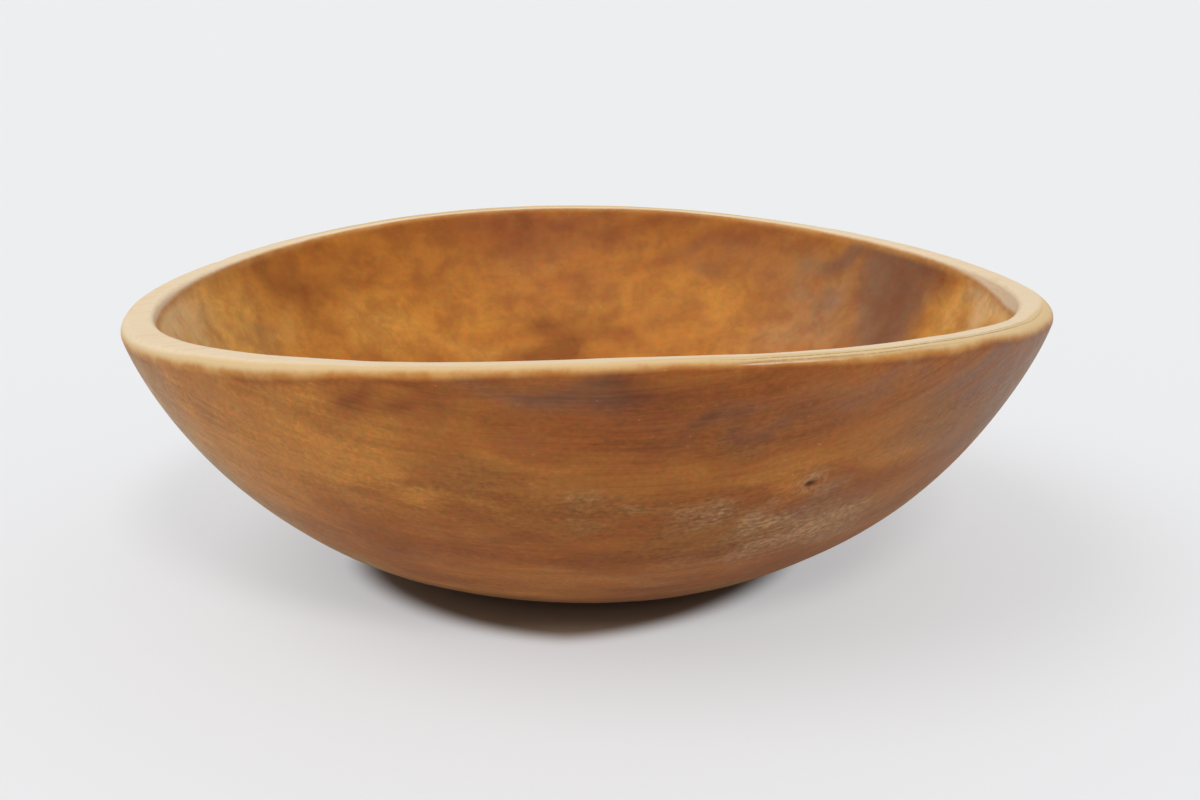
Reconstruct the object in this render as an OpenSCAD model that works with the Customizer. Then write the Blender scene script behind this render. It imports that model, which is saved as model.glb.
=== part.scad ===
// Dough bowl turned from one block of wood, which has dried out of round since it was turned.
// The grain runs along X. The bowl stands on its foot at Z = 0, centred on the origin, +Z up.
// A block dries narrower across the grain and its side grain lifts, so the rim is an oval that
// is longest along X, highest over the two sides at +Y and -Y, and lowest at the two ends.

/* [Rim] */
// Length over the rim, along the grain
rim_length = 290; // [240:1:360]
// Mean height of the rim above the table
rim_height = 91; // [75:0.5:115]
// Thickness of the wall at the rim
rim_wall = 11; // [8:0.5:15]
// Rounding of the rim's outer edge, worn by hands
outer_lip_radius = 3.5; // [1:0.5:4]
// Rounding of the rim's inner edge
inner_lip_radius = 2.5; // [1:0.5:3.5]

/* [Wall] */
// Angle of the outer wall from upright, just below the rim
outer_lean = 17; // [8:1:30]
// Angle of the inner wall from upright, just below the rim
inner_lean = 20; // [10:1:32]
// Angle from level at which the outer wall leaves the foot
foot_rise = 7; // [2:1:15]
// How far the belly runs out low before it turns up, as a share of the wall's reach
outer_belly_share = 0.61; // [0.45:0.01:0.68]
// How far down the outer wall keeps the lean of the rim, as a share of its height
outer_upright_share = 0.23; // [0.15:0.01:0.4]
// How far the floor runs out flat before it turns up, as a share of the hollow's reach
inner_belly_share = 0.64; // [0.5:0.01:0.7]
// How far down the inner wall keeps the lean of the rim, as a share of the hollow's depth
inner_upright_share = 0.4; // [0.3:0.01:0.5]

/* [Floor and foot] */
// Thickness of the floor in the middle, above the table
floor_thickness = 11; // [8:0.5:16]
// Diameter of the foot, along the grain
foot_diameter = 90; // [80:1:110]
// Diameter of the dished hollow in the foot, inside the ring that the bowl stands on
foot_hollow_diameter = 62; // [40:1:68]
// Depth of the dished hollow
foot_hollow_depth = 2; // [1:0.5:4]

/* [Drying] */
// Width across the grain after drying, as a share of the length along it
cross_grain_share = 0.96; // [0.92:0.005:0.98]
// How far the rim has risen over the sides, and sunk at the ends
rim_lift = 5.25; // [0:0.25:8]

/* [Hidden] */

rim_radius = rim_length / 2;
foot_radius = foot_diameter / 2;

// Steps round the bowl, up the outer wall, round each edge of the rim and down the inner wall
around_steps = 96;
outer_steps = 20;
lip_steps = 3;
inner_steps = 20;

// Centre of each rounding of the rim, in radius and height
outer_lip_centre = [rim_radius - outer_lip_radius, rim_height - outer_lip_radius];
inner_lip_centre = [rim_radius - rim_wall + inner_lip_radius, rim_height - inner_lip_radius];

// The foot's edge, and the places where the wall's two curves run into the rim's roundings
foot_edge = [foot_radius, 0];
floor_middle = [0, floor_thickness];
outer_top = on_circle(outer_lip_centre, outer_lip_radius, -outer_lean);
inner_top = on_circle(inner_lip_centre, inner_lip_radius, 180 - inner_lean);

// Handles of the outer curve: out along the foot's rise, and down along the rim's lean
outer_span = outer_top - foot_edge;
belly_handle = foot_edge + outer_belly_share * outer_span[0] * [1, tan(foot_rise)];
outer_handle = outer_top - outer_upright_share * outer_span[1] * [tan(outer_lean), 1];

// Handles of the inner curve: level across the floor, and down along the rim's lean
inner_span = inner_top - floor_middle;
floor_handle = floor_middle + inner_belly_share * [inner_span[0], 0];
inner_handle = inner_top - inner_upright_share * inner_span[1] * [tan(inner_lean), 1];

// The section as turned, in radius and height: up the outside, over the rim and down inside.
// The last point of the inner curve is the middle of the floor, which closes the shell instead.
section = concat(
    [for (i = [0 : outer_steps])
        bezier(foot_edge, belly_handle, outer_handle, outer_top, i / outer_steps)],
    [for (i = [0 : lip_steps])
        on_circle(outer_lip_centre, outer_lip_radius, 90 * i / lip_steps)],
    [for (i = [0 : lip_steps - 1])
        on_circle(inner_lip_centre, inner_lip_radius, mix(90, 180 - inner_lean, i / lip_steps))],
    [for (i = [0 : inner_steps - 1])
        bezier(inner_top, inner_handle, floor_handle, floor_middle, i / inner_steps)]
);

function mix(from, to, share) = from + (to - from) * share;

function on_circle(centre, radius, angle) = centre + radius * [cos(angle), sin(angle)];

// Point of a cubic curve that starts at a, ends at d and has the handles b and c
function bezier(a, b, c, d, share) =
    pow(1 - share, 3) * a
    + 3 * pow(1 - share, 2) * share * b
    + 3 * (1 - share) * pow(share, 2) * c
    + pow(share, 3) * d;

// How far drying moves the wall up or down: nothing over the foot, all of rim_lift at the rim
function lift_at(radius) =
    rim_lift * pow(max(0, (radius - foot_radius) / (rim_radius - foot_radius)), 2);

// Where a point of the turned section lies after drying, at an angle round from the grain
function dried(turned, angle) = [
    turned[0] * cos(angle),
    turned[0] * sin(angle) * cross_grain_share,
    turned[1] - lift_at(turned[0]) * cos(2 * angle)
];

// The whole shell: rings of points round the section, closed over the foot and the floor
module dried_shell() {
    rings = len(section);
    foot_pole = rings * around_steps;
    floor_pole = foot_pole + 1;
    points = concat(
        [for (turned = section, k = [0 : around_steps - 1]) dried(turned, 360 * k / around_steps)],
        [[0, 0, 0], [0, 0, floor_thickness]]
    );
    faces = [
        for (k = [0 : around_steps - 1])
            let (next = (k + 1) % around_steps, last = (rings - 1) * around_steps)
            each concat(
                [[k, next, foot_pole], [last + next, last + k, floor_pole]],
                [for (i = [0 : rings - 2])
                    let (low = i * around_steps, high = low + around_steps)
                    each [[low + k, high + k, high + next], [low + k, high + next, low + next]]]
            )
    ];
    polyhedron(points = points, faces = faces);
}

// Cap of a large ball that leaves a dished hollow of the named diameter and depth in the foot
module foot_dish() {
    edge_radius = foot_hollow_diameter / 2;
    ball_radius = (pow(edge_radius, 2) + pow(foot_hollow_depth, 2)) / (2 * foot_hollow_depth);
    translate([0, 0, foot_hollow_depth - ball_radius])
        sphere(r = ball_radius, $fn = around_steps);
}

module bowl() {
    color([0.66, 0.4, 0.18])
        difference() {
            dried_shell();
            foot_dish();
        }
}

bowl();
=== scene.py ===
import math
import bpy
import numpy as np
from mathutils import Matrix, Vector


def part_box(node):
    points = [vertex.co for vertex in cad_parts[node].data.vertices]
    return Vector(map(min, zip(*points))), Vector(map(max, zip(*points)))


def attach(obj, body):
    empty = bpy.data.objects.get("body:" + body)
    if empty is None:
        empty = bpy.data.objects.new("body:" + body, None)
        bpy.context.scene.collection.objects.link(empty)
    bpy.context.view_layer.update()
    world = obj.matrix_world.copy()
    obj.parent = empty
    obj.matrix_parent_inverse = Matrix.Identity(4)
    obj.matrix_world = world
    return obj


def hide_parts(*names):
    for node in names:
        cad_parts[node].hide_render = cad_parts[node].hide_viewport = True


# An old dough bowl, turned from one block of wood and dried out of round.
# The grain runs along X. Lengths are metres and angles degrees unless a name says millimetres.
# Angles go round from +X, the right-hand end of the grain, so the side at -90 is the near one.

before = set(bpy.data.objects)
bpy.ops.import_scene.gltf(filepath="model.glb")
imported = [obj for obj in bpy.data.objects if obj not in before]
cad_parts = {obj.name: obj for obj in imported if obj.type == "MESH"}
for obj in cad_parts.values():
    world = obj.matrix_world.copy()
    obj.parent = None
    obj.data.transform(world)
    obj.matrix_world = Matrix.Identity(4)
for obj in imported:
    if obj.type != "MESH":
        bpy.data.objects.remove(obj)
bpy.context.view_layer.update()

mm = 0.001


# Small helpers for node trees

def place(tree, kind, feeds=None, **settings):
    # adds a node, sets its options, and feeds each named socket with a value or another socket
    node = tree.nodes.new(kind)
    for name, value in settings.items():
        setattr(node, name, value)
    for key, value in (feeds or {}).items():
        if isinstance(value, bpy.types.NodeSocket):
            tree.links.new(value, node.inputs[key])
        else:
            node.inputs[key].default_value = value
    return node


def calc(tree, operation, first, second=0.0, third=0.0, clamp=False):
    feeds = {0: first, 1: second, 2: third}
    return place(tree, "ShaderNodeMath", feeds, operation=operation, use_clamp=clamp).outputs[0]


def product(tree, *shares):
    # all the shares multiplied together
    total = shares[0]
    for share in shares[1:]:
        total = calc(tree, "MULTIPLY", total, share)
    return total


def fade(tree, value, low, high, fromLow=0.0, toHigh=1.0):
    # smooth step from fromLow at low to toHigh at high
    feeds = {"Value": value, "From Min": low, "From Max": high, "To Min": fromLow, "To Max": toHigh}
    return place(tree, "ShaderNodeMapRange", feeds, interpolation_type="SMOOTHSTEP").outputs["Result"]


def blendNumber(tree, factor, under, over):
    return place(tree, "ShaderNodeMix", {0: factor, 2: under, 3: over}).outputs[0]


def blendColour(tree, factor, under, over):
    return place(tree, "ShaderNodeMix", {0: factor, 6: under, 7: over}, data_type="RGBA").outputs[2]


def shaded(tree, colour, *shades):
    # a colour times one or more shades, each a number round 1
    feeds = {0: colour, "Scale": product(tree, *shades)}
    return place(tree, "ShaderNodeVectorMath", feeds, operation="SCALE").outputs[0]


def cloud(tree, vector, scale, detail, roughness, distortion=0.0, output="Fac"):
    feeds = {"Vector": vector, "Scale": scale, "Detail": detail, "Roughness": roughness,
             "Distortion": distortion}
    return place(tree, "ShaderNodeTexNoise", feeds).outputs[output]


def between(tree, start, end):
    # the way from one place to another
    return place(tree, "ShaderNodeVectorMath", {0: end, 1: start}, operation="SUBTRACT").outputs[0]


def stretch(tree, vector, sizes):
    # the position counted in steps of the given sizes, so that a cloud becomes a streak
    feeds = {0: vector, 1: tuple(1 / size for size in sizes)}
    return place(tree, "ShaderNodeVectorMath", feeds, operation="MULTIPLY").outputs[0]


def readField(tree, name):
    return place(tree, "ShaderNodeAttribute", attribute_name=name).outputs["Fac"]


def shade(red, green, blue):
    # a colour as a paint chart gives it, 0 to 255, as Blender's linear colour
    def straight(channel):
        part = channel / 255
        return part / 12.92 if part <= 0.04045 else ((part + 0.055) / 1.055) ** 2.4
    return (straight(red), straight(green), straight(blue), 1.0)


def newGroup(name, inputs, outputs):
    group = bpy.data.node_groups.new(name, "ShaderNodeTree")
    for label, kind in inputs:
        group.interface.new_socket(name=label, in_out="INPUT", socket_type=kind)
    for label in outputs:
        group.interface.new_socket(name=label, in_out="OUTPUT", socket_type="NodeSocketFloat")
    return group, group.nodes.new("NodeGroupInput").outputs, group.nodes.new("NodeGroupOutput").inputs


def newTree(material):
    # the empty node tree of a material or a world
    material.use_nodes = True
    material.node_tree.nodes.clear()
    return material.node_tree


# The bowl's shape

bowlShape = {
    "rimWall": 11 * mm,              # thickness of the wall at the rim
    "outerLip": 3.5 * mm,            # rounding of the rim's outer edge
    "innerLip": 2.5 * mm,            # rounding of its inner edge
    "outerLean": 17,                 # angle of each wall from upright, under the rim
    "innerLean": 20,
    "footRise": 7,                   # angle from level at which the wall leaves the foot
    "outerBellyShare": 0.61,         # fullness of the curves, low down and below the rim
    "outerUprightShare": 0.23,
    "innerBellyShare": 0.64,
    "innerUprightShare": 0.4,
    "floorThickness": 11 * mm,
    "footRadius": 45 * mm,
    "footHollowRadius": 31 * mm,
    "footHollowDepth": 2 * mm,
    "footEdge": 0.7 * mm,            # softened corner where the foot's ring meets the wall
    "footEdgeEnd": (0.3, 0.12),      # its upper end, as shares of that, outwards and up
    "rimLift": 5.25 * mm,            # rise of the rim over the sides, and its sinking at the ends
    "aroundSteps": 480,
    "rows": {"dish": 9, "ring": 4, "outer": 80, "outerLip": 20, "flat": 14, "innerLip": 9, "inner": 66},
}

lowCorner, highCorner = (np.array(corner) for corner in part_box("bowl"))
rimRadius = (highCorner[0] - lowCorner[0]) / 2
acrossShare = (highCorner[1] - lowCorner[1]) / (highCorner[0] - lowCorner[0])
lipRadius = rimRadius - bowlShape["outerLip"]
footRadius = bowlShape["footRadius"]


def liftAt(radius):
    # drying lifts the wall by the square of the way from the foot's edge to the rim
    way = np.clip((radius - footRadius) / (rimRadius - footRadius), 0, None)
    return bowlShape["rimLift"] * way ** 2


rimHeight = highCorner[2] - liftAt(lipRadius)    # mean height, since the box holds the lifted sides


def cubicCurve(start, startHandle, endHandle, end, count, denseSteps=400):
    # a cubic curve with two handles, worked out in dense steps and cut into ones of equal length
    t = np.linspace(0, 1, denseSteps)[:, None]
    dense = ((1 - t) ** 3 * start + 3 * (1 - t) ** 2 * t * startHandle
             + 3 * (1 - t) * t ** 2 * endHandle + t ** 3 * end)
    lengths = np.concatenate([[0], np.cumsum(np.linalg.norm(np.diff(dense, axis=0), axis=1))])
    stops = np.linspace(0, lengths[-1], count)
    return np.column_stack([np.interp(stops, lengths, dense[:, k]) for k in (0, 1)])


def roundEdge(centre, radius, fromAngle, toAngle, count):
    # part of a circle, as a centre plus its radius turned from one angle to the other
    turn = np.radians(np.linspace(fromAngle, toAngle, count))
    return centre + radius * np.column_stack([np.cos(turn), np.sin(turn)])


def turnedSection():
    # the section before drying, in radius and height, from the middle of the foot out, up the
    # outside, over the rim and down to the middle of the floor, and the row in the rim's middle
    b, rows = bowlShape, bowlShape["rows"]
    outerCentre = np.array([rimRadius - b["outerLip"], rimHeight - b["outerLip"]])
    innerCentre = np.array([rimRadius - b["rimWall"] + b["innerLip"], rimHeight - b["innerLip"]])
    outerLip = roundEdge(outerCentre, b["outerLip"], -b["outerLean"], 90, rows["outerLip"])
    innerLip = roundEdge(innerCentre, b["innerLip"], 90, 180 - b["innerLean"], rows["innerLip"])

    out = np.linspace(0, 1, rows["dish"], endpoint=False)[1:]
    dish = np.column_stack([out * b["footHollowRadius"], b["footHollowDepth"] * (1 - out ** 2)])
    ring = np.column_stack([np.linspace(b["footHollowRadius"], footRadius - b["footEdge"], rows["ring"]),
                            np.zeros(rows["ring"])])

    footEdge = np.array([footRadius, 0.0])
    reach = outerLip[0] - footEdge
    rise = math.tan(math.radians(b["footRise"]))
    lean = math.tan(math.radians(b["outerLean"]))
    outer = cubicCurve(footEdge, footEdge + b["outerBellyShare"] * reach[0] * np.array([1, rise]),
                       outerLip[0] - b["outerUprightShare"] * reach[1] * np.array([lean, 1]),
                       outerLip[0], rows["outer"])[:-1]
    outer[0] = outer[0] + b["footEdge"] * np.array(b["footEdgeEnd"])

    floorMiddle = np.array([0.0, b["floorThickness"]])
    depth = innerLip[-1] - floorMiddle
    lean = math.tan(math.radians(b["innerLean"]))
    inner = cubicCurve(innerLip[-1], innerLip[-1] - b["innerUprightShare"] * depth[1] * np.array([lean, 1]),
                       floorMiddle + b["innerBellyShare"] * np.array([depth[0], 0]),
                       floorMiddle, rows["inner"])[1:-1]

    share = np.linspace(0, 1, rows["flat"] + 2)[1:-1, None]
    flat = outerLip[-1] * (1 - share) + innerLip[0] * share
    line = np.vstack([dish, ring, outer, outerLip, flat, innerLip, inner])
    midTop = len(dish) + len(ring) + len(outer) + len(outerLip) + rows["flat"] / 2 - 0.5
    return line, midTop


def driedPoints(line, turn):
    # each radius and height carried round: an oval, narrower across the grain, whose rim
    # rises by the cosine of twice the angle
    radius, height = line[:, 0][:, None], line[:, 1][:, None]
    return np.stack([radius * np.cos(turn), radius * np.sin(turn) * acrossShare,
                     height - liftAt(radius) * np.cos(2 * turn)], axis=-1)


def ripples(points, wavelength, seed, waves=20):
    # soft random waves: a sum of cosines in random directions, all of about one wavelength
    draw = np.random.default_rng(seed)
    ways = draw.normal(size=(waves, 3))
    radiansPerMetre = 2 * np.pi / wavelength * draw.uniform(0.75, 1.3, waves)
    ways *= (radiansPerMetre / np.linalg.norm(ways, axis=1))[:, None]
    return np.cos(points @ ways.T + draw.uniform(0, 2 * np.pi, waves)).sum(axis=-1) * math.sqrt(2 / waves)


def outwardNormals(grid):
    # cross product of the steps along the section and round the bowl
    alongSection = np.gradient(grid, axis=0)
    roundBowl = (np.roll(grid, -1, axis=1) - np.roll(grid, 1, axis=1)) / 2
    normals = np.cross(roundBowl, alongSection)
    return normals / np.linalg.norm(normals, axis=-1, keepdims=True)


# How the tree grew

woodFigure = {
    "pithDepth": 120 * mm,          # the tree's middle runs under the bowl, this far below the table
    "pithSlope": 0.08,              # and climbs by this share of the way towards +X
    "ringSpacing": 1.25 * mm,
    "wander": 9 * mm,               # how far the rings stray from true circles
    "ringNoise": (0.7, 3, 0.7),     # scale, detail and roughness of how one ring differs from the next
    # the wood's marks: their sizes along the tree, outwards from its middle and round it, and the
    # detail and roughness of their noise
    "marks": {
        "Streaks": ((20 * mm, 0.7 * mm, 3 * mm), 3, 0.62),
        "Bands": ((34 * mm, 3.2 * mm, 9 * mm), 4, 0.6),
        "Fibres": ((3.2 * mm, 0.45 * mm, 0.35 * mm), 2, 0.6),
        "Clouds": ((60 * mm, 11 * mm, 27 * mm), 4, 0.55),
        "Flecks": ((1.9 * mm, 1.2 * mm, 1.1 * mm), 2, 0.5),
    },
}


# Wear of the surface: what hands, knives and drying have done to it

wear = {
    # wavelength, height and seed of the long waves, of the short ones and of the rim's own
    "handWave": (70 * mm, 0.20 * mm, 5),
    "handRipple": (21 * mm, 0.05 * mm, 6),
    "rimWave": (95 * mm, 0.20 * mm, 7),
    "rimReach": 9 * mm,              # how far from the rim's middle its waves reach
    "waveSink": 1.6,                 # how far all waves are pushed inwards, in their own heights
    "footClear": 1.5 * mm,           # below this the surface stays as it was turned
    "footFade": 8 * mm,              # and up to this the wear grows to its full depth
    # each dent: its angle, height above the table, radius and depth, in degrees and millimetres
    "dents": [(-82, 95, 4.5, 0.35), (-121, 95, 7, 0.25), (-34, 91, 6, 0.3), (148, 87, 6, 0.3),
              (-152, 60, 9, 0.3), (118, 70, 10, 0.3), (25, 50, 9, 0.3), (-100, 26, 8, 0.25),
              (-48, 40, 7, 0.25)],
    # a small knot that has fallen out: its pit, given as a dent is, and the half sizes of its
    # black and its pale ring along X, Y and Z
    "knotPit": (-70, 55, 2.4, 0.9),
    "knotSizes": (2.1 * mm, 1.7 * mm, 1.5 * mm),
    # fine grooves round the rim: the angles where each starts and ends, its places across the rim
    # there, its half width and its depth, in degrees and millimetres, and how much dirt it holds
    "grooves": [(-87, -18, 4.2, 2.2, 0.36, 0.13, 0.65), (-84, -52, 5.6, 5.0, 0.30, 0.10, 0.5),
                (-64, -30, 2.0, 1.1, 0.30, 0.10, 0.5), (92, 138, 0.6, 1.6, 0.34, 0.12, 0.4)],
    # a pale chip along the rim's outer edge, given the same way; its pale line is partly a painted
    # highlight on the edge
    "chipsAndHighlight": [(-83, -70, 6.3, 6.4, 0.26, 0.10, 0.8)],
    "markFades": (8, 2.5),           # how steeply they come in and run out, over their own length
    # the rim's bands: at each angle, how far from its middle the bare wood starts on the inside,
    # where it turns to straw, where it ends, and where the honey border round it ends, in millimetres
    "rimBands": [(-180, -6.6, 6.2, 7.6, 9.2), (-154, -5.4, 5.4, 7.2, 9.2), (-142, -4.8, 4.2, 7.0, 9.0),
                 (-134, -4.8, 4.2, 7.3, 9.4), (-128, -4.6, 3.8, 6.7, 8.6), (-121, -4.6, 3.2, 5.7, 7.3),
                 (-114, -4.6, 2.8, 5.6, 8.2), (-106, -4.6, 3.0, 5.6, 7.4), (-96, -4.6, 3.2, 5.4, 6.9),
                 (-86, -4.6, 1.0, 5.2, 6.6), (-76, -4.6, 0.0, 5.9, 7.3), (-64, -4.6, 2.4, 5.9, 8.3),
                 (-57, -4.6, 2.2, 6.3, 8.2), (-49, -4.6, 1.8, 5.1, 6.5), (-42, -5.0, 1.0, 6.2, 7.6),
                 (-30, -5.9, 0.2, 6.4, 7.8), (-23, -7.0, 1.4, 6.4, 7.8), (-16, -8.6, 2.7, 6.4, 7.8),
                 (-10, -9.2, 4.2, 6.4, 7.8), (-3, -8.2, 5.0, 6.3, 7.8), (4, -6.6, 5.0, 6.2, 7.8),
                 (12, -5.3, 4.2, 6.1, 7.8), (24, -4.5, 3.0, 6.0, 7.6), (40, -3.8, 2.0, 5.6, 7.0),
                 (70, -1.4, 0.2, 5.2, 6.8), (105, -1.4, 0.2, 5.6, 7.2), (135, -3.6, 2.0, 5.6, 7.4),
                 (164, -5.4, 5.0, 7.0, 8.8), (180, -6.6, 6.2, 7.6, 9.2)],
    "stainShake": 2.6 * mm,          # how far a stain's edge strays, and over what length
    "stainRipple": 19 * mm,
    "stainSeeds": (31, 32, 33),      # one for each direction that it strays in
    "stainMost": 2,                  # the most that stains of one kind add up to
}


def signedDegrees(turn):
    # an angle in degrees between -180 and 180
    return (np.degrees(turn) + 180) % 360 - 180


def rimMark(turn, fromRim, start, end, startAcross, endAcross, halfWidth):
    # a bell over the way across the rim, faded in and out over the mark's angles
    comesIn, runsOut = wear["markFades"]
    along = (signedDegrees(turn) - start) / (end - start)
    across = startAcross + (endAcross - startAcross) * along
    shown = np.clip(along * comesIn, 0, 1) * np.clip((1 - along) * runsOut, 0, 1)
    return shown * np.exp(-((fromRim / mm - across) / halfWidth) ** 2)


def sunkWaves(grid, wave):
    # ripples pushed inwards, and folded back where they would still stand out
    wavelength, height, seed = wave
    return np.abs(height * (ripples(grid, wavelength, seed) + wear["waveSink"]) / 2)


def wornGrid(grid, normals, turn, fromRim):
    # moves each point inwards by the waves, dents and grooves; the foot's ring stays flat on the table
    height = grid[..., 2]
    nearRim = np.exp(-(fromRim / wear["rimReach"]) ** 2)
    sink = sunkWaves(grid, wear["handWave"]) + sunkWaves(grid, wear["handRipple"])
    sink += nearRim * sunkWaves(grid, wear["rimWave"])
    for *course, depth, _ in wear["grooves"] + wear["chipsAndHighlight"]:
        sink += depth * mm * rimMark(turn, fromRim, *course)
    for angle, dentHeight, across, depth in [wear["knotPit"]] + wear["dents"]:
        middle = surfacePoint(angle, dentHeight * mm, "outside")
        away = np.linalg.norm(grid - middle, axis=-1) / (across * mm)
        sink += depth * mm * np.exp(-away ** 2)
    grown = np.clip(height / wear["footFade"], 0, 1) * (height > wear["footClear"])
    return grid - normals * (sink * grown)[..., None]


def surfacePoint(angle, height, side):
    # the point of the outer or inner wall at an angle and a height above the table
    line, midTop = section
    half = int(midTop)
    rows = line[:half] if side == "outside" else line[half:]
    points = driedPoints(rows, np.array([math.radians(angle)]))[:, 0]
    return points[np.argmin(np.abs(points[:, 2] - height))]


# Stains, each a soft patch with a ragged edge, longer along the wood's grain lines than across
# them: angle round, height above the table, half length and half width, in degrees and
# millimetres, and strength. Those of one kind are listed by their angle. Outside, the khaki
# patches, and the olive and grey ones near the ends of the outline (about -170 to -140 and -50 to 0
# degrees), are partly painted sheen, the pale bloom of a grazing reflection, and partly the wood's colour.
outsideStainsAndSheen = {
    "honey": [(-168, 74, 12, 12, 0.6), (-150, 64, 22, 14, 0.9), (-150, 84, 18, 7, 0.5),
              (-146, 46, 20, 10, 0.7), (-141, 80, 14, 6, 0.4), (-136, 71, 26, 14, 0.8),
              (-136, 88, 18, 5, 0.9), (-134, 54, 18, 10, 0.7), (-132, 34, 22, 8, 0.3),
              (-131, 70, 20, 12, 0.7), (-128, 15, 12, 4, 0.3), (-124, 74, 14, 7, 0.4),
              (-122, 45, 20, 7, 0.35), (-120, 58, 20, 6, 0.6), (-118, 61, 13, 5, 0.9),
              (-117, 73, 11, 8, 0.6), (-114, 84, 18, 6, 0.4), (-112, 14, 30, 6, 0.7),
              (-112, 53, 14, 5, 0.4), (-107, 66, 14, 5, 0.3), (-106, 47, 14, 6, 0.5),
              (-104, 66, 22, 5, 0.4), (-100, 24, 46, 7, 0.45), (-98, 58, 24, 4, 0.4),
              (-76, 62, 24, 5, 0.6), (-60, 68, 20, 7, 0.4), (-58, 60, 16, 5, 0.6), (-52, 48, 14, 5, 0.3)],
    "red": [(-140, 79, 16, 5, 0.55), (-137, 67, 16, 4, 0.4), (-135, 56, 12, 4, 0.3),
            (-134, 50, 6, 5, 0.4), (-128, 44, 16, 8, 0.4), (-122, 31, 26, 8, 0.3), (-121, 86, 18, 6, 0.7),
            (-114, 87, 24, 4, 0.7), (-113, 71, 12, 5, 0.5), (-112, 63, 12, 5, 0.4),
            (-108, 48, 16, 8, 0.15), (-104, 42, 22, 6, 0.5), (-100, 74, 24, 6, 0.5),
            (-92, 88, 16, 5, 0.6), (-90, 30, 26, 6, 0.4), (-90, 82, 26, 7, 0.7), (-76, 70, 16, 6, 0.5),
            (-74, 89, 18, 4, 0.55), (-70, 64, 10, 3, 0.4), (-62, 54, 14, 5, 0.5), (-32, 87, 22, 2, 0.6)],
    "olive": [(-162, 54, 14, 12, 0.8), (-160, 66, 12, 26, 0.5), (-153, 36, 16, 9, 0.9),
              (-143, 22, 20, 7, 0.8), (-120, 10, 26, 4, 0.3), (-113, 66, 9, 4, 0.5),
              (-108, 60, 10, 5, 0.4), (-104, 48, 24, 8, 0.2), (-95, 52, 22, 5, 0.5),
              (-88, 50, 14, 6, 0.3), (-80, 46, 16, 4, 0.6), (-79, 71, 12, 4, 0.7), (-78, 38, 28, 8, 0.8),
              (-70, 12, 26, 5, 0.6), (-56, 38, 18, 6, 0.6), (-48, 70, 24, 9, 0.6), (-36, 36, 22, 8, 0.8),
              (-32, 72, 22, 10, 0.7), (-20, 56, 16, 14, 0.7)],
    "grey": [(-104, 87, 14, 6, 0.6), (-98, 88, 14, 6, 0.6), (-84, 76, 16, 5, 0.4), (-70, 82, 20, 6, 0.4),
             (-66, 46, 14, 5, 0.6), (-64, 38, 22, 9, 0.2), (-60, 87, 24, 5, 0.3), (-50, 76, 26, 12, 0.6),
             (-50, 84, 24, 6, 0.5), (-40, 60, 22, 10, 0.6), (-30, 76, 34, 24, 1.1)],
    "dark": [(-135, 70, 5, 1.2, 0.4), (-125, 33, 12, 3, 0.5), (-121, 86, 16, 5, 0.4),
             (-116, 86, 12, 3, 0.3), (-108, 43, 10, 3, 0.4), (-101, 89, 14, 6, 0.6),
             (-97, 59, 20, 6, 0.3), (-93, 90, 14, 4, 0.35), (-92, 86, 22, 6, 0.45),
             (-88, 41, 6, 2.5, 0.3), (-86, 77, 13, 5, 0.5), (-79, 77, 24, 3, 0.4), (-72, 50, 9, 3, 0.3),
             (-70, 53, 3, 1.5, 0.6), (-66, 54, 6, 3, 0.4), (-58, 70, 22, 7, 0.3), (-58, 89, 16, 2, 0.4)],
    "khaki": [(-169, 80, 36, 15, 0.55), (-168, 64, 36, 15, 0.55), (-166, 48, 36, 13, 0.6),
              (-160, 35, 34, 9, 0.6), (-152, 24, 32, 7, 0.6), (-146, 17, 30, 5, 0.5),
              (-30, 32, 24, 6, 0.6), (-6, 68, 34, 26, 0.45)],
    "pale": [(-96, 54, 9, 3, 0.5), (-92, 50, 12, 3, 0.2), (-90, 24, 18, 5, 0.4), (-85, 50, 9, 4, 0.6),
             (-78, 47, 13, 4, 1.1), (-74, 30, 14, 5, 0.9), (-74, 54, 8, 3, 0.9), (-73, 57, 5, 1.5, 0.9),
             (-72, 44, 12, 5, 0.7), (-67, 37, 13, 6, 1.1), (-62, 40, 11, 7, 0.6), (-60, 34, 12, 7, 0.7)],
}
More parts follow.
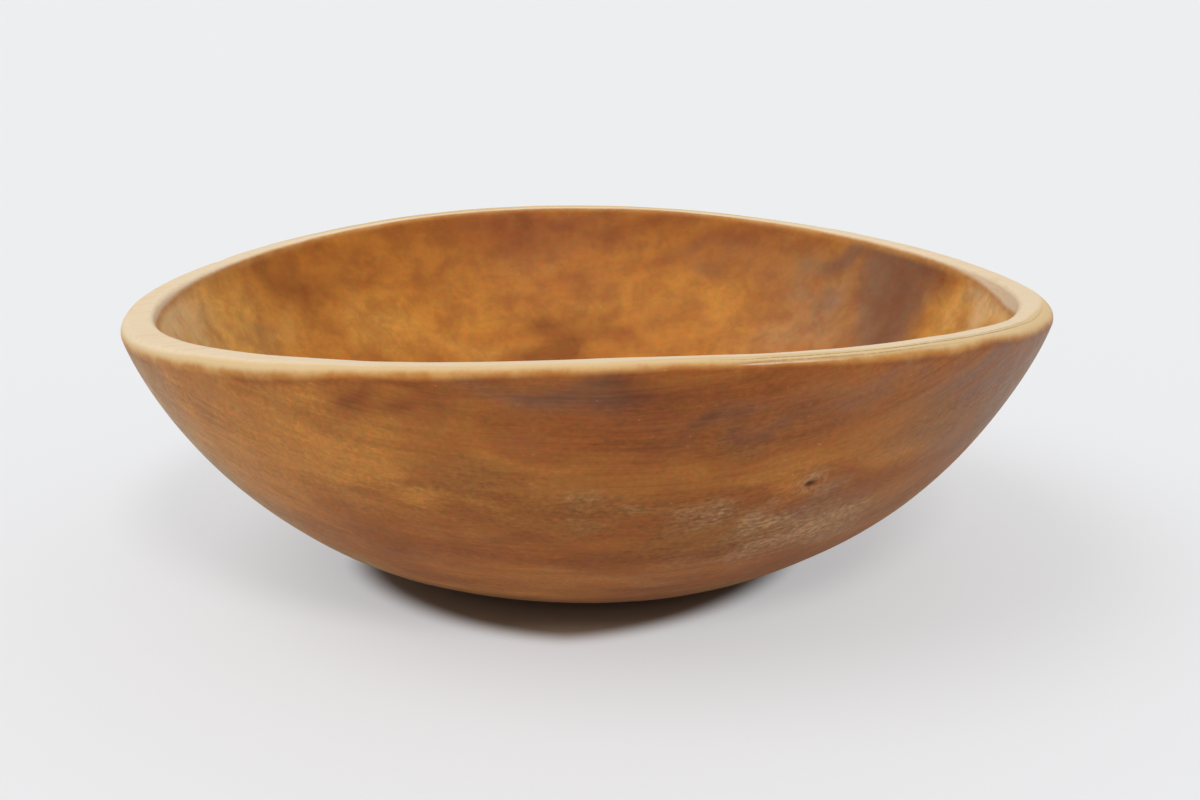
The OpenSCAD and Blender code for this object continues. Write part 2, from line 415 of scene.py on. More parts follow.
insideStains = {
    "honey": [(-178, 80, 18, 12, 1.0), (-18, 83, 18, 12, 1.2), (-8, 80, 18, 14, 1.2),
              (6, 72, 12, 16, 0.8), (61, 62, 26, 9, 0.2), (82, 62, 10, 5, 0.3), (103, 45, 12, 5, 0.5),
              (104, 58, 22, 9, 0.15), (113, 47, 14, 5, 0.4), (124, 57, 14, 11, 0.6),
              (128, 66, 8, 12, 0.4), (150, 66, 22, 14, 0.5), (160, 76, 22, 14, 1.0),
              (162, 82, 12, 8, 0.5), (164, 60, 16, 10, 0.6), (176, 78, 26, 14, 1.2)],
    "red": [(18, 82, 10, 6, 0.5), (60, 86, 24, 8, 0.8), (72, 46, 20, 8, 0.3), (77, 46, 12, 6, 0.5),
            (86, 73, 26, 8, 0.2), (92, 90, 60, 9, 1.0), (110, 77, 10, 6, 0.7), (140, 82, 18, 5, 0.5)],
    "olive": [(24, 66, 9, 24, 0.5), (152, 62, 9, 8, 0.3), (172, 80, 14, 6, 0.6)],
    "grey": [(15, 74, 7, 12, 1.0), (19, 68, 7, 22, 1.0), (20, 88, 16, 5, 0.6), (23, 70, 9, 30, 1.2),
             (28, 72, 9, 22, 0.8), (30, 56, 14, 12, 0.2), (31, 88, 16, 6, 0.8), (33, 82, 18, 6, 0.9),
             (36, 66, 14, 10, 0.5), (38, 68, 8, 6, 0.35), (42, 54, 20, 8, 0.3), (43, 70, 10, 8, 0.6),
             (48, 78, 20, 8, 0.4), (60, 82, 20, 6, 0.4), (62, 76, 7, 4, 0.3)],
    "khaki": [(150, 66, 12, 8, 0.3), (166, 72, 14, 12, 0.5), (178, 80, 18, 10, 0.7)],
    "dark": [(15, 84, 7, 4, 1.1), (19, 68, 6, 22, 0.5), (22, 68, 6, 26, 0.5), (36, 84, 12, 3, 0.4),
             (60, 85, 7, 4, 0.5), (63, 78, 6, 3, 0.5), (72, 90, 9, 4, 0.5), (80, 85, 8, 3, 0.5),
             (83, 56, 9, 4, 0.3), (88, 48.5, 13, 7, 1.8), (92, 46, 9, 6, 1.0), (93, 43, 10, 5, 0.7),
             (94, 88, 7, 4, 0.7), (96, 78, 7, 4, 0.7), (106, 86, 5, 4, 0.5), (125, 60, 6, 5, 0.3),
             (135, 70, 5, 4, 0.8), (138, 76, 6, 5, 0.9), (144, 83, 7, 4, 0.7), (151, 65, 7, 4, 0.4),
             (155, 74, 5, 3, 0.5)],
    "pale": [(-10, 82, 16, 10, 1.2), (0, 78, 10, 8, 1.2), (38, 55, 24, 8, 0.25), (38, 68, 10, 8, 0.2),
             (168, 83, 14, 8, 0.7), (178, 80, 16, 12, 1.2)],
}
# On the sides away from these, stains are drawn by lot: a seed, the number of each kind, the
# number of khaki and of pale ones, and the angles between which they fall.
strayStains = {"outside": (11, 9, 3, (-24, 196)), "inside": (12, 6, 0, (-172, -8))}
# The least and the most of their heights, half lengths, half widths and strengths.
strayRanges = {"height": (20, 88), "halfAlong": (8, 28), "halfAcross": (4, 11), "strength": (0.3, 0.75)}


def withStrays(where, stains, kind):
    # the listed stains, and as many stray ones of the same kind with drawn places and sizes
    seed, number, paleNumber, angles = strayStains[where]
    if kind in ("khaki", "pale"):
        number = paleNumber
    draw = np.random.default_rng([seed, list(stains).index(kind)])
    drawn = [draw.uniform(low, high, number) for low, high in (angles, *strayRanges.values())]
    return stains[kind] + [tuple(row) for row in np.column_stack(drawn)]


def stainAndSheenField(shaken, where, patches):
    # each patch is a bell of the distance along and across the grain lines of its surface,
    # counted in its own half sizes; the places come shaken by ripples, so that its edge is ragged
    total = np.zeros(shaken.shape[:2])
    for angle, height, halfAlong, halfAcross, strength in patches:
        middle = surfacePoint(angle, height * mm, where)
        fromPith = np.array([0, middle[1], middle[2] + woodFigure["pithDepth"]])
        outwards = np.array([middle[0], middle[1], -middle[2]])
        grainWay = np.cross(outwards, fromPith)
        grainWay /= np.linalg.norm(grainWay)
        away = shaken - middle
        along = away @ grainWay
        across = np.linalg.norm(away - along[..., None] * grainWay, axis=-1)
        total += strength * np.exp(-(along / (halfAlong * mm)) ** 2 - (across / (halfAcross * mm)) ** 2)
    return total


def closedMesh(name, grid):
    # quads between the rows of the grid, wrapped round, and a fan to a point at each pole
    rows, steps = grid.shape[:2]
    poles = [[0, 0, bowlShape["footHollowDepth"]], [0, 0, bowlShape["floorThickness"]]]
    points = np.vstack([grid.reshape(-1, 3), poles])
    at = np.arange(rows * steps).reshape(rows, steps)
    right = np.roll(at, -1, axis=1)
    quads = np.stack([at[:-1], right[:-1], right[1:], at[1:]], axis=-1).reshape(-1, 4)
    footFan = np.column_stack([right[0], at[0], np.full(steps, len(points) - 2)])
    floorFan = np.column_stack([at[-1], right[-1], np.full(steps, len(points) - 1)])
    mesh = bpy.data.meshes.new(name)
    mesh.from_pydata(points, [], quads.tolist() + footFan.tolist() + floorFan.tolist())
    mesh.shade_smooth()
    return mesh


def addField(mesh, name, values, footValue=0, floorValue=0):
    # a number for every point, which the material reads by its name
    everyPoint = np.concatenate([values.ravel(), [footValue, floorValue]])
    field = mesh.attributes.new(name, "FLOAT", "POINT")
    field.data.foreach_set("value", everyPoint.astype(np.float32))


def addRimFields(mesh, turn, rows):
    # where the rim's bands start and end, the same all the way down the section at each angle
    angles, bareStart, strawStart, bareEnd, honeyEnd = np.array(wear["rimBands"]).T
    bands = {"bareStart": bareStart, "strawStart": strawStart, "bareEnd": bareEnd, "honeyEnd": honeyEnd}
    for name, places in bands.items():
        aroundRim = np.interp(signedDegrees(turn), angles, places)
        addField(mesh, name, np.repeat(aroundRim[None], rows, axis=0))


def addFootField(mesh, line, midTop, steps):
    # 1 over the foot's ring, falling by the fourth power of the way from the ring's middle
    ringMiddle = (footRadius + bowlShape["footHollowRadius"]) / 2
    ringHalf = (footRadius - bowlShape["footHollowRadius"]) / 2
    rubbed = np.exp(-((line[:, 0] - ringMiddle) / ringHalf) ** 4) * (np.arange(len(line)) < midTop)
    addField(mesh, "footRub", np.repeat(rubbed[:, None], steps, axis=1))


def addStainAndSheenFields(mesh, grid, isOutside):
    # how strongly each kind of stain covers each point, from the stains of its own side; outside, some
    # olive, grey and khaki ones are partly painted sheen
    shaken = grid + wear["stainShake"] * np.stack(
        [ripples(grid, wear["stainRipple"], seed) for seed in wear["stainSeeds"]], axis=-1)
    for kind in outsideStainsAndSheen:
        outer = stainAndSheenField(shaken, "outside", withStrays("outside", outsideStainsAndSheen, kind))
        inner = stainAndSheenField(shaken, "inside", withStrays("inside", insideStains, kind))
        addField(mesh, kind + "Stain", np.clip(np.where(isOutside, outer, inner), 0, wear["stainMost"]))


def buildBowl():
    line, midTop = section
    turn = np.radians(np.arange(bowlShape["aroundSteps"]) * 360 / bowlShape["aroundSteps"])
    smooth = driedPoints(line, turn)
    lengths = np.concatenate([[0], np.cumsum(np.linalg.norm(np.diff(line, axis=0), axis=1))])
    rimMiddle = np.interp(midTop, np.arange(len(line)), lengths)
    fromRim = np.repeat((rimMiddle - lengths)[:, None], len(turn), axis=1)
    mesh = closedMesh("bowl.turned", wornGrid(smooth, outwardNormals(smooth), turn, fromRim))
    addField(mesh, "fromRim", fromRim / mm, lengths[-1] / mm, -lengths[-1] / mm)
    addRimFields(mesh, turn, len(line))
    addFootField(mesh, line, midTop, len(turn))
    addStainAndSheenFields(mesh, smooth, fromRim > 0)
    bowl = bpy.data.objects.new("bowl.turned", mesh)
    bpy.context.collection.objects.link(bowl)
    return bowl


section = turnedSection()
bowl = buildBowl()
print("bowl turned, faces", len(bowl.data.polygons))


# The wood

woodTints = {
    "amber": shade(164, 98, 41), "russet": shade(146, 82, 33),    # the lighter and darker outside
    "hollowMiddle": shade(186, 120, 44), "hollowDeep": shade(172, 104, 38),    # and inside
    "honey": shade(196, 130, 56), "hollowHoney": shade(220, 162, 74), "red": shade(134, 66, 29),
    # olive, grey and khaki also serve as painted sheen near the ends of the outline outside
    "olive": shade(138, 100, 50), "grey": shade(126, 94, 78), "hollowGrey": shade(124, 92, 72),
    "dark": shade(84, 44, 25), "hollowDark": shade(112, 56, 18), "khaki": shade(188, 158, 112),
    "pale": shade(176, 138, 100), "hollowPale": shade(240, 204, 150),
    "dust": shade(200, 158, 108), "pitBlack": shade(58, 32, 18), "footRubbed": shade(194, 148, 94),
    "cream": shade(230, 208, 176), "straw": shade(216, 185, 134),    # the rim's bare wood
    "edgeHoney": shade(200, 148, 84), "edgeAmber": shade(184, 122, 58), "burntEdge": shade(138, 70, 28),
    # the chip's pale tint is partly a painted highlight along the rim's outer edge
    "grooveDirt": shade(128, 104, 68), "chipAndHighlight": shade(226, 196, 172), "sheen": shade(240, 226, 190),
}

# each kind of stain: its tint inside, its tint outside, and how much of the wood it hides at most; olive,
# grey and khaki are partly painted sheen along the outline outside
stainTints = {
    "honey": ("hollowHoney", "honey", 0.85), "red": ("red", "red", 0.7), "olive": ("olive", "olive", 0.7),
    "grey": ("hollowGrey", "grey", 0.8), "khaki": ("khaki", "khaki", 0.75),
    "dark": ("hollowDark", "dark", 0.65), "pale": ("hollowPale", "pale", 0.55),
}

woodFinish = {
    "polished": (0.46, 0.58),        # roughness of the patina, from its shiny to its dull places
    "bareRoughness": 0.68,
    "specular": 0.18,
    "ior": 1.46,
    "sheen": 0.14,                   # the pale bloom of old oil at a grazing angle
    "sheenRoughness": 0.35,
    "grainStrength": 0.35,
    "grainDepth": 0.1 * mm,
    "heights": (0.4, 0.6, 0.5),      # of rings and of streaks, and how deep dust lies, as shares of that
    # scale, detail, roughness and distortion of each plain noise over the surface
    "mottle": (120, 4, 0.65, 0.3),
    "grain": (750, 3, 0.65),
    "blotches": (95, 4, 0.6, 0.3),
    "wide": (22, 3, 0.55),
    "ringPatches": (28, 2, 0.5),     # where the growth rings show
    "edgeStray": (60, 3, 0.6),       # how the rim's bands stray
    "wander": (11, 2, 0.45),         # how the rings stray
    "tinge": (400, 3, 0.6),          # small changes of hue
    "tingeSpan": (0.79, 0.42),       # its least, and how much it adds
    "specksPerMetre": 170,
}


def surfaceNoise(tree, position, name, output="Fac"):
    return cloud(tree, position, *woodFinish[name], output=output)


def makeFigureGroup():
    # The growth rings are shells round the pith: their distance from it is the length of the
    # Y part and the height above it. Rings are counted by that distance, and the other marks are
    # noise over length, distance and way round, drawn out along the tree.
    group, given, out = newGroup("treeFigure", [
        ("Position", "NodeSocketVector"), ("Pith Depth", "NodeSocketFloat"),
        ("Pith Slope", "NodeSocketFloat"), ("Ring Spacing", "NodeSocketFloat"),
        ("Wander", "NodeSocketFloat")], ["Rings", *woodFigure["marks"]])
    along, aside, up = place(group, "ShaderNodeSeparateXYZ", {0: given["Position"]}).outputs
    climbed = calc(group, "MULTIPLY", along, given["Pith Slope"])
    abovePith = calc(group, "ADD", calc(group, "SUBTRACT", up, climbed), given["Pith Depth"])
    squares = calc(group, "ADD", product(group, abovePith, abovePith), product(group, aside, aside))
    stray = calc(group, "SUBTRACT", surfaceNoise(group, given["Position"], "wander"), 0.5)
    fromPith = calc(group, "MULTIPLY_ADD", stray, given["Wander"], calc(group, "SQRT", squares))
    wayRound = product(group, calc(group, "ARCTAN2", aside, abovePith), given["Pith Depth"])
    inTree = place(group, "ShaderNodeCombineXYZ", {0: along, 1: fromPith, 2: wayRound}).outputs[0]

    ringCount = calc(group, "DIVIDE", fromPith, given["Ring Spacing"])
    scale, detail, roughness = woodFigure["ringNoise"]
    feeds = {"W": ringCount, "Scale": scale, "Detail": detail, "Roughness": roughness}
    uneven = place(group, "ShaderNodeTexNoise", feeds, noise_dimensions="1D").outputs["Fac"]
    group.links.new(uneven, out["Rings"])
    for name, (sizes, detail, roughness) in woodFigure["marks"].items():
        noise = cloud(group, stretch(group, inTree, sizes), 1, detail, roughness)
        group.links.new(noise, out[name])
    return group


def makeRimMarkGroup():
    # the same mark as rimMark cuts: a soft line at a place across the rim that moves evenly
    # between two angles, and fades in and out at them
    names = ("Across", "Angle", "Start", "End", "Start Across", "End Across", "Half Width")
    group, given, out = newGroup("rimMark", [(name, "NodeSocketFloat") for name in names], ["Share"])
    comesIn, runsOut = wear["markFades"]
    sinceStart = calc(group, "SUBTRACT", given["Angle"], given["Start"])
    along = calc(group, "DIVIDE", sinceStart, calc(group, "SUBTRACT", given["End"], given["Start"]))
    drift = calc(group, "SUBTRACT", given["End Across"], given["Start Across"])
    middle = calc(group, "MULTIPLY_ADD", along, drift, given["Start Across"])
    away = calc(group, "ABSOLUTE", calc(group, "SUBTRACT", given["Across"], middle))
    line = fade(group, calc(group, "DIVIDE", away, given["Half Width"]), 0.3, 1.5, 1.0, 0.0)
    starts = calc(group, "MULTIPLY", along, comesIn, clamp=True)
    ends = calc(group, "MULTIPLY", calc(group, "SUBTRACT", 1.0, along), runsOut, clamp=True)
    group.links.new(product(group, line, starts, ends), out["Share"])
    return group


def readMarks(tree):
    # everything that the wood's colours are made from, by name
    position = place(tree, "ShaderNodeTexCoord").outputs["Object"]
    feeds = {"Position": position, "Pith Depth": woodFigure["pithDepth"],
             "Pith Slope": woodFigure["pithSlope"], "Ring Spacing": woodFigure["ringSpacing"],
             "Wander": woodFigure["wander"]}
    figure = place(tree, "ShaderNodeGroup", feeds, node_tree=makeFigureGroup())
    marks = {socket.name.lower(): socket for socket in figure.outputs}
    marks["position"] = position
    marks["fromRim"] = readField(tree, "fromRim")
    marks["side"] = fade(tree, marks["fromRim"], -2, 2)    # 0 inside, 1 outside
    marks["mottle"] = surfaceNoise(tree, position, "mottle")
    marks["grain"] = surfaceNoise(tree, position, "grain")
    marks["worn"] = readField(tree, "paleStain")
    return marks


def wallColour(tree, marks):
    # each wall goes from its middle tint to its deep one with the clouds and a wide, even noise
    t = woodTints
    wide = surfaceNoise(tree, marks["position"], "wide")
    depth = calc(tree, "MULTIPLY_ADD", marks["clouds"], 0.6, product(tree, wide, 0.4))
    deep = fade(tree, depth, 0.40, 0.60)
    outer = blendColour(tree, deep, t["amber"], t["russet"])
    inner = blendColour(tree, deep, t["hollowMiddle"], t["hollowDeep"])
    return blendColour(tree, marks["side"], inner, outer)


def stainedAndSheenColour(tree, colour, marks):
    # A stain's strength is broken up by the bands, streaks and grain outside, and by the mottle
    # inside. Honey and khaki are broken up less than half as much, and pale is lumpy as well.
    side = marks["side"]
    ragged = product(tree, fade(tree, marks["bands"], 0.32, 0.68, 0.55, 1.35),
                     fade(tree, marks["streaks"], 0.3, 0.7, 0.9, 1.08),
                     fade(tree, marks["grain"], 0.3, 0.7, 0.85, 1.15))
    ragged = blendNumber(tree, side, fade(tree, marks["mottle"], 0.3, 0.7, 0.75, 1.2), ragged)
    softly = calc(tree, "MULTIPLY_ADD", ragged, 0.45, 0.55)
    lumpy = product(tree, softly, fade(tree, marks["flecks"], 0.36, 0.64, 0.7, 1.25))
    brokenUp = {"honey": softly, "khaki": softly, "pale": blendNumber(tree, side, softly, lumpy)}
    for kind, (insideTint, outsideTint, most) in stainTints.items():
        tint = blendColour(tree, side, woodTints[insideTint], woodTints[outsideTint])
        strength = readField(tree, kind + "Stain")
        amount = calc(tree, "MULTIPLY", strength, brokenUp.get(kind, ragged), clamp=True)
        colour = blendColour(tree, product(tree, amount, most), colour, tint)
    return colour


def figureStrength(tree, marks):
    # the tree's marks are fainter under honey and where the wood is worn pale, by two thirds at most
    honeyCalm = product(tree, readField(tree, "honeyStain"), -0.7)
    calm = calc(tree, "MULTIPLY_ADD", marks["worn"], -0.45, honeyCalm)
    return calc(tree, "ADD", 1.0, calc(tree, "MAXIMUM", calm, -0.65))


def outsideColour(tree, colour, marks, figureShare):
    # the outside is ringed, streaked and fibrous, and roughest where it is olive
    patches = fade(tree, surfaceNoise(tree, marks["position"], "ringPatches"), 0.40, 0.60)
    ringDark = calc(tree, "SUBTRACT", fade(tree, marks["rings"], 0.42, 0.66, 1.03, 0.88), 1.0)
    ringShade = calc(tree, "MULTIPLY_ADD", product(tree, patches, figureShare), ringDark, 1.0)
    streakDark = fade(tree, marks["streaks"], 0.28, 0.72, 0.05, -0.06)
    streakShade = calc(tree, "MULTIPLY_ADD", figureShare, streakDark, 1.0)
    cloudRough = fade(tree, marks["clouds"], 0.35, 0.65, 0.15, 0.45)
    roughShare = calc(tree, "MULTIPLY_ADD", readField(tree, "oliveStain"), 0.6, cloudRough)
    fibreDark = fade(tree, marks["fibres"], 0.25, 0.75, 0.16, -0.16)
    fibreShade = calc(tree, "MULTIPLY_ADD", product(tree, roughShare, figureShare), fibreDark, 1.0)
    fleckShare = calc(tree, "MULTIPLY_ADD", marks["worn"], 0.3, roughShare)
    fleckPale = fade(tree, marks["flecks"], 0.25, 0.75, -0.28, 0.24)
    fleckShade = calc(tree, "MULTIPLY_ADD", fleckShare, fleckPale, 1.0)
    return shaded(tree, colour, ringShade, fibreShade, fleckShade, streakShade,
                  fade(tree, marks["grain"], 0.25, 0.75, 0.91, 1.09),
                  fade(tree, marks["mottle"], 0.3, 0.7, 0.98, 1.02),
                  fade(tree, marks["bands"], 0.3, 0.7, 0.93, 1.07))


def insideColour(tree, colour, marks):
    # the inside is scraped and oiled to a soft mottle with reddish blotches
    blotches = surfaceNoise(tree, marks["position"], "blotches")
    colour = blendColour(tree, fade(tree, blotches, 0.42, 0.68, 0.0, 0.30), colour, woodTints["red"])
    return shaded(tree, colour, fade(tree, blotches, 0.3, 0.6, 1.07, 0.98),
                  fade(tree, marks["mottle"], 0.3, 0.7, 0.95, 1.05),
                  fade(tree, marks["fibres"], 0.3, 0.7, 1.02, 0.98))


def tingedColour(tree, colour, marks):
    # the hue changes a little from place to place
    least, span = woodFinish["tingeSpan"]
    tinge = surfaceNoise(tree, marks["position"], "tinge", output="Color")
    tinge = place(tree, "ShaderNodeVectorMath", {0: tinge, 1: (span,) * 3, 2: (least,) * 3},
                  operation="MULTIPLY_ADD").outputs[0]
    return place(tree, "ShaderNodeVectorMath", {0: colour, 1: tinge}, operation="MULTIPLY").outputs[0]


def dustShare(tree, marks):
    # pale flecks outside, thick where the wood is worn pale and rare elsewhere, and pale specks
    flecks = calc(tree, "MULTIPLY_ADD", marks["worn"], 0.15, marks["flecks"])
    fleckMask = fade(tree, flecks, 0.72, 0.80, 0.0, 0.35)
    speckle = place(tree, "ShaderNodeTexVoronoi", {
        "Vector": marks["position"], "Scale": woodFinish["specksPerMetre"]}).outputs
    lot = place(tree, "ShaderNodeSeparateColor", {0: speckle["Color"]}).outputs[0]
    speckMask = product(tree, fade(tree, speckle["Distance"], 0.02, 0.07, 0.5, 0.0),
                        fade(tree, lot, 0.965, 0.985))
    return product(tree, calc(tree, "MAXIMUM", fleckMask, speckMask), marks["side"])


def knotColour(tree, colour, marks):
    # the pit of a small knot: black in the middle, with a ring of paler wood round it, both
    # counted by a distance that the mottle makes uneven
    angle, height = wear["knotPit"][:2]
    middle = tuple(surfacePoint(angle, height * mm, "outside"))
    away = stretch(tree, between(tree, middle, marks["position"]), wear["knotSizes"])
    distance = place(tree, "ShaderNodeVectorMath", {0: away}, operation="LENGTH").outputs["Value"]
    distance = calc(tree, "MULTIPLY_ADD", calc(tree, "SUBTRACT", marks["mottle"], 0.5), 1.6, distance)
    ring = product(tree, fade(tree, distance, 1.2, 1.7), fade(tree, distance, 1.9, 3.6, 0.5, 0.0),
                   fade(tree, marks["grain"], 0.42, 0.62))
    colour = blendColour(tree, ring, colour, woodTints["pale"])
    return blendColour(tree, fade(tree, distance, 0.75, 1.35, 0.92, 0.0), colour, woodTints["pitBlack"])


def footColour(tree, colour, marks):
    # the foot's ring, rubbed pale by the tables that it has stood on
    patchy = fade(tree, marks["mottle"], 0.38, 0.62, 0.2, 0.6)
    rubbed = product(tree, readField(tree, "footRub"), patchy)
    return blendColour(tree, rubbed, colour, woodTints["footRubbed"])


def rimColour(tree, colour, marks, uneven):
    # the rim, worn through the patina: bare wood on top, a honey border where the wear runs out
    # down the wall, and a darker line where the patina starts
    t = woodTints
    mottle = marks["mottle"]
    ragged = calc(tree, "MULTIPLY_ADD", uneven, 1.3, marks["fromRim"])
    ragged = calc(tree, "MULTIPLY_ADD", calc(tree, "SUBTRACT", marks["grain"], 0.5), 0.7, ragged)
    sinceBare, pastStraw, pastBare, pastHoney = (
        calc(tree, "SUBTRACT", ragged, readField(tree, name))
        for name in ("bareStart", "strawStart", "bareEnd", "honeyEnd"))
    burnt = product(tree, fade(tree, pastHoney, -0.4, 0.8), fade(tree, pastHoney, 1.0, 2.6, 1.0, 0.0),
                    fade(tree, readField(tree, "honeyStain"), 0.1, 0.7, 1.0, 0.1),
                    fade(tree, mottle, 0.40, 0.62, 0.0, 0.45))
    colour = blendColour(tree, burnt, colour, t["burntEdge"])
    honeyShare = product(tree, fade(tree, pastHoney, -1.4, 1.0, 1.0, 0.0), fade(tree, sinceBare, -4.0, 0.0))
    honey = blendColour(tree, fade(tree, mottle, 0.35, 0.65), t["edgeHoney"], t["edgeAmber"])
    colour = blendColour(tree, honeyShare, colour, honey)
    bareShare = product(tree, fade(tree, pastBare, -1.3, 1.2, 1.0, 0.0), fade(tree, sinceBare, -1.2, 0.8))
    strawShare = calc(tree, "MAXIMUM", fade(tree, pastStraw, -0.9, 1.3, 0.0, 0.9),
                      fade(tree, marks["streaks"], 0.45, 0.80, 0.0, 0.6))
    bare = blendColour(tree, strawShare, t["cream"], t["straw"])
    return blendColour(tree, bareShare, colour, bare), bareShare


def rimMarksColour(tree, colour, marks, uneven):
    # dirt in the rim's grooves, and pale wood in its chips, which is partly a painted highlight along the
    # edge
    along, aside = place(tree, "ShaderNodeSeparateXYZ", {0: marks["position"]}).outputs[:2]
    turn = calc(tree, "ARCTAN2", calc(tree, "DIVIDE", aside, acrossShare), along)
    angle = calc(tree, "DEGREES", turn)
    wavy = calc(tree, "MULTIPLY_ADD", uneven, 0.9, marks["fromRim"])
    markGroup = makeRimMarkGroup()
    for rimMarks, tint in ((wear["grooves"], "grooveDirt"), (wear["chipsAndHighlight"], "chipAndHighlight")):
        for start, end, startAcross, endAcross, halfWidth, depth, strength in rimMarks:
            feeds = {"Across": wavy, "Angle": angle, "Start": start, "End": end,
                     "Start Across": startAcross, "End Across": endAcross, "Half Width": halfWidth}
            shown = place(tree, "ShaderNodeGroup", feeds, node_tree=markGroup).outputs[0]
            patchy = fade(tree, marks["grain"], 0.32, 0.55, 0.4 * strength, strength)
            colour = blendColour(tree, product(tree, shown, patchy), colour, woodTints[tint])
    return colour


def grainHeight(tree, marks, figureShare, dust):
    # rings and streaks stand up, a quarter as high inside as outside, and dust lies in pits
    ringHeight, streakHeight, dustDepth = woodFinish["heights"]
    rings = product(tree, marks["rings"], ringHeight)
    height = calc(tree, "MULTIPLY_ADD", marks["streaks"], streakHeight, rings)
    shown = product(tree, figureShare, fade(tree, marks["fromRim"], -2, 2, 0.25, 1.0))
    return calc(tree, "SUBTRACT", product(tree, height, shown), product(tree, dust, dustDepth))


def makeWood():
    material = bpy.data.materials.new("oldOiledWood")
    tree = newTree(material)
    marks = readMarks(tree)
    figureShare = figureStrength(tree, marks)
    colour = stainedAndSheenColour(tree, wallColour(tree, marks), marks)
    colour = blendColour(tree, marks["side"], insideColour(tree, colour, marks),
                         outsideColour(tree, colour, marks, figureShare))
    colour = tingedColour(tree, colour, marks)
    dust = dustShare(tree, marks)
    colour = blendColour(tree, dust, colour, woodTints["dust"])
    colour = knotColour(tree, colour, marks)
    colour = footColour(tree, colour, marks)
    uneven = calc(tree, "SUBTRACT", surfaceNoise(tree, marks["position"], "edgeStray"), 0.5)
    colour, bareShare = rimColour(tree, colour, marks, uneven)
    colour = rimMarksColour(tree, colour, marks, uneven)

    polish = fade(tree, marks["mottle"], 0.3, 0.7, *woodFinish["polished"])
    bump = place(tree, "ShaderNodeBump", {
        "Height": grainHeight(tree, marks, figureShare, dust),
        "Strength": woodFinish["grainStrength"], "Distance": woodFinish["grainDepth"]})
    surface = place(tree, "ShaderNodeBsdfPrincipled", {
        "Base Color": colour, "Normal": bump.outputs[0], "IOR": woodFinish["ior"],
        "Roughness": calc(tree, "MAXIMUM", polish, product(tree, bareShare, woodFinish["bareRoughness"])),
        "Specular IOR Level": woodFinish["specular"], "Sheen Weight": woodFinish["sheen"],
        "Sheen Roughness": woodFinish["sheenRoughness"], "Sheen Tint": woodTints["sheen"]})
    place(tree, "ShaderNodeOutputMaterial", {"Surface": surface.outputs[0]})
    return material


bowl.data.materials.append(makeWood())
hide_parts("bowl")
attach(bowl, "root")
print("wood finished")


# Floor, light and camera

studio = {
    "floorHalf": 15.0,              # wide enough to fill the view behind the bowl
    "floorTint": shade(236, 237, 239),
    # the floor's painted shadow: a dark tint in the patch under the bowl, which only the camera sees
    "paintedShadowTint": shade(160, 147, 128),
    "floorRoughness": 0.8,
    "floorGlow": 0.50,              # how much of its shade the floor shows as its bare colour
    "glowStrength": 0.98,
    # the patch of painted shadow, a diamond with round corners: its middle, its turn, its half sizes, how
    # round it is (a circle has 2), and the shares of its half sizes between which it runs out
    "patchMiddle": (-0.0079, -0.0107, 0.0),
    "patchTurn": 8.6,
    "patchReach": (0.0643, 0.0624, 1.0),
    "patchRoundness": 1.57,
    "patchFades": (0.955, 1.175),
    "worldTint": (1.0, 1.0, 1.0, 1.0),
    "worldStrength": 0.62,
    "lowShare": 0.20,               # how much of that comes from the horizon
    "highFrom": 0.45,               # and the height, as a share, from which all of it comes
    "skyStrength": 0.86,            # what the camera and reflections see past the floor
    # name, direction it comes from, width as an angle and strength of each soft lamp
    "lamps": [("window", (-0.52, -0.14, 0.84), 40, 0.85), ("fill", (0.10, -0.78, 0.80), 15, 0.95)],
}

photoCamera = {
    "place": (-0.0699, -0.5150, 0.1861),
    "turn": -8.12,                  # of the view round Z, from looking along +Y
    "down": 14.6,
    "roll": -0.41,
    "lens": 49.5,                   # in millimetres, on a sensor this wide
    "sensor": 36,
}


def outsidePaintedShadow(tree):
    # the mask of the painted shadow, 0 under the bowl and 1 in the open: the way from the patch's middle,
    # counted in its half sizes, is the sum of the powers of its two parts, taken back to a length
    position = place(tree, "ShaderNodeTexCoord").outputs["Object"]
    away = between(tree, studio["patchMiddle"], position)
    feeds = {"Vector": away, "Angle": math.radians(studio["patchTurn"])}
    away = place(tree, "ShaderNodeVectorRotate", feeds, rotation_type="Z_AXIS").outputs[0]
    parts = place(tree, "ShaderNodeSeparateXYZ", {0: stretch(tree, away, studio["patchReach"])}).outputs[:2]
    along, across = (calc(tree, "POWER", calc(tree, "ABSOLUTE", part), studio["patchRoundness"])
                     for part in parts)
    fromMiddle = calc(tree, "POWER", calc(tree, "ADD", along, across), 1 / studio["patchRoundness"])
    return fade(tree, fromMiddle, *studio["patchFades"])


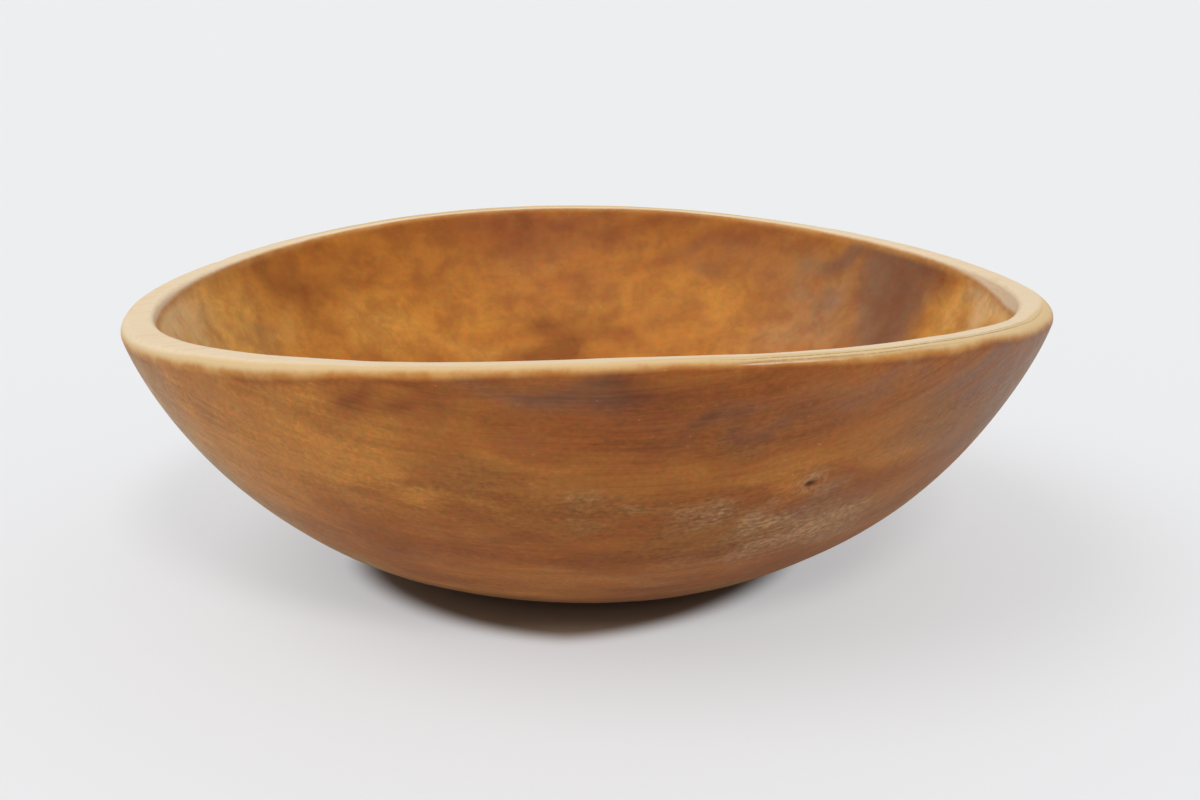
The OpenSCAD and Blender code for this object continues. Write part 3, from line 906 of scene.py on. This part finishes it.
def addFloor():
    half = studio["floorHalf"]
    corners = [(-half, -half, 0), (half, -half, 0), (half, half, 0), (-half, half, 0)]
    mesh = bpy.data.meshes.new("floor")
    mesh.from_pydata(corners, [], [(0, 1, 2, 3)])
    floor = bpy.data.objects.new("floor", mesh)
    bpy.context.collection.objects.link(floor)
    material = bpy.data.materials.new("palePaintAndPaintedShadow")
    tree = newTree(material)
    # painted shadow: for camera rays the floor takes the dark tint under the bowl
    clearOfPaintedShadow = outsidePaintedShadow(tree)
    seen = place(tree, "ShaderNodeLightPath").outputs["Is Camera Ray"]
    paintedShadowShare = product(tree, calc(tree, "SUBTRACT", 1.0, clearOfPaintedShadow), seen)
    paintAndPaintedShadow = blendColour(tree, paintedShadowShare, studio["floorTint"], studio["paintedShadowTint"])
    paint = place(tree, "ShaderNodeBsdfPrincipled", {
        "Base Color": paintAndPaintedShadow, "Roughness": studio["floorRoughness"]})
    glow = place(tree, "ShaderNodeEmission", {
        "Color": studio["floorTint"], "Strength": studio["glowStrength"]})
    # the glow is left out of the painted shadow, so that it stays dark
    glowShare = product(tree, clearOfPaintedShadow, studio["floorGlow"], seen)
    mixed = place(tree, "ShaderNodeMixShader", {0: glowShare, 1: paint.outputs[0], 2: glow.outputs[0]})
    place(tree, "ShaderNodeOutputMaterial", {"Surface": mixed.outputs[0]})
    mesh.materials.append(material)


def addWorld():
    # a white dome, dimmer near the horizon, which the camera and reflections see as an even white
    world = bpy.data.worlds.new("studio")
    bpy.context.scene.world = world
    tree = newTree(world)
    path = place(tree, "ShaderNodeLightPath").outputs
    seen = calc(tree, "MAXIMUM", path["Is Camera Ray"], path["Is Glossy Ray"])
    seen = calc(tree, "MAXIMUM", seen, path["Is Transmission Ray"])
    way = place(tree, "ShaderNodeTexCoord").outputs["Generated"]
    up = place(tree, "ShaderNodeSeparateXYZ", {0: way}).outputs["Z"]
    high = studio["worldStrength"]
    dome = fade(tree, up, 0.0, studio["highFrom"], studio["lowShare"] * high, high)
    strength = blendNumber(tree, seen, dome, studio["skyStrength"])
    sky = place(tree, "ShaderNodeBackground", {"Color": studio["worldTint"], "Strength": strength})
    place(tree, "ShaderNodeOutputWorld", {"Surface": sky.outputs[0]})


def addLamps():
    for name, comesFrom, width, strength in studio["lamps"]:
        lamp = bpy.data.lights.new(name, "SUN")
        lamp.angle = math.radians(width)
        lamp.energy = strength
        holder = bpy.data.objects.new(name, lamp)
        bpy.context.collection.objects.link(holder)
        holder.matrix_world = Vector(comesFrom).to_track_quat("Z", "Y").to_matrix().to_4x4()


def addCamera():
    c = photoCamera
    camera = bpy.data.objects.new("camera", bpy.data.cameras.new("camera"))
    camera.data.lens = c["lens"]
    camera.data.sensor_width = c["sensor"]
    turns = ((c["turn"], "Z"), (90 - c["down"], "X"), (c["roll"], "Z"))
    view = Matrix.Translation(c["place"])
    for angle, axis in turns:
        view = view @ Matrix.Rotation(math.radians(angle), 4, axis)
    camera.matrix_world = view
    bpy.context.collection.objects.link(camera)
    bpy.context.scene.camera = camera


addFloor()
addWorld()
addLamps()
addCamera()
bpy.context.scene.view_settings.view_transform = "Standard"
print("studio lit, camera placed")
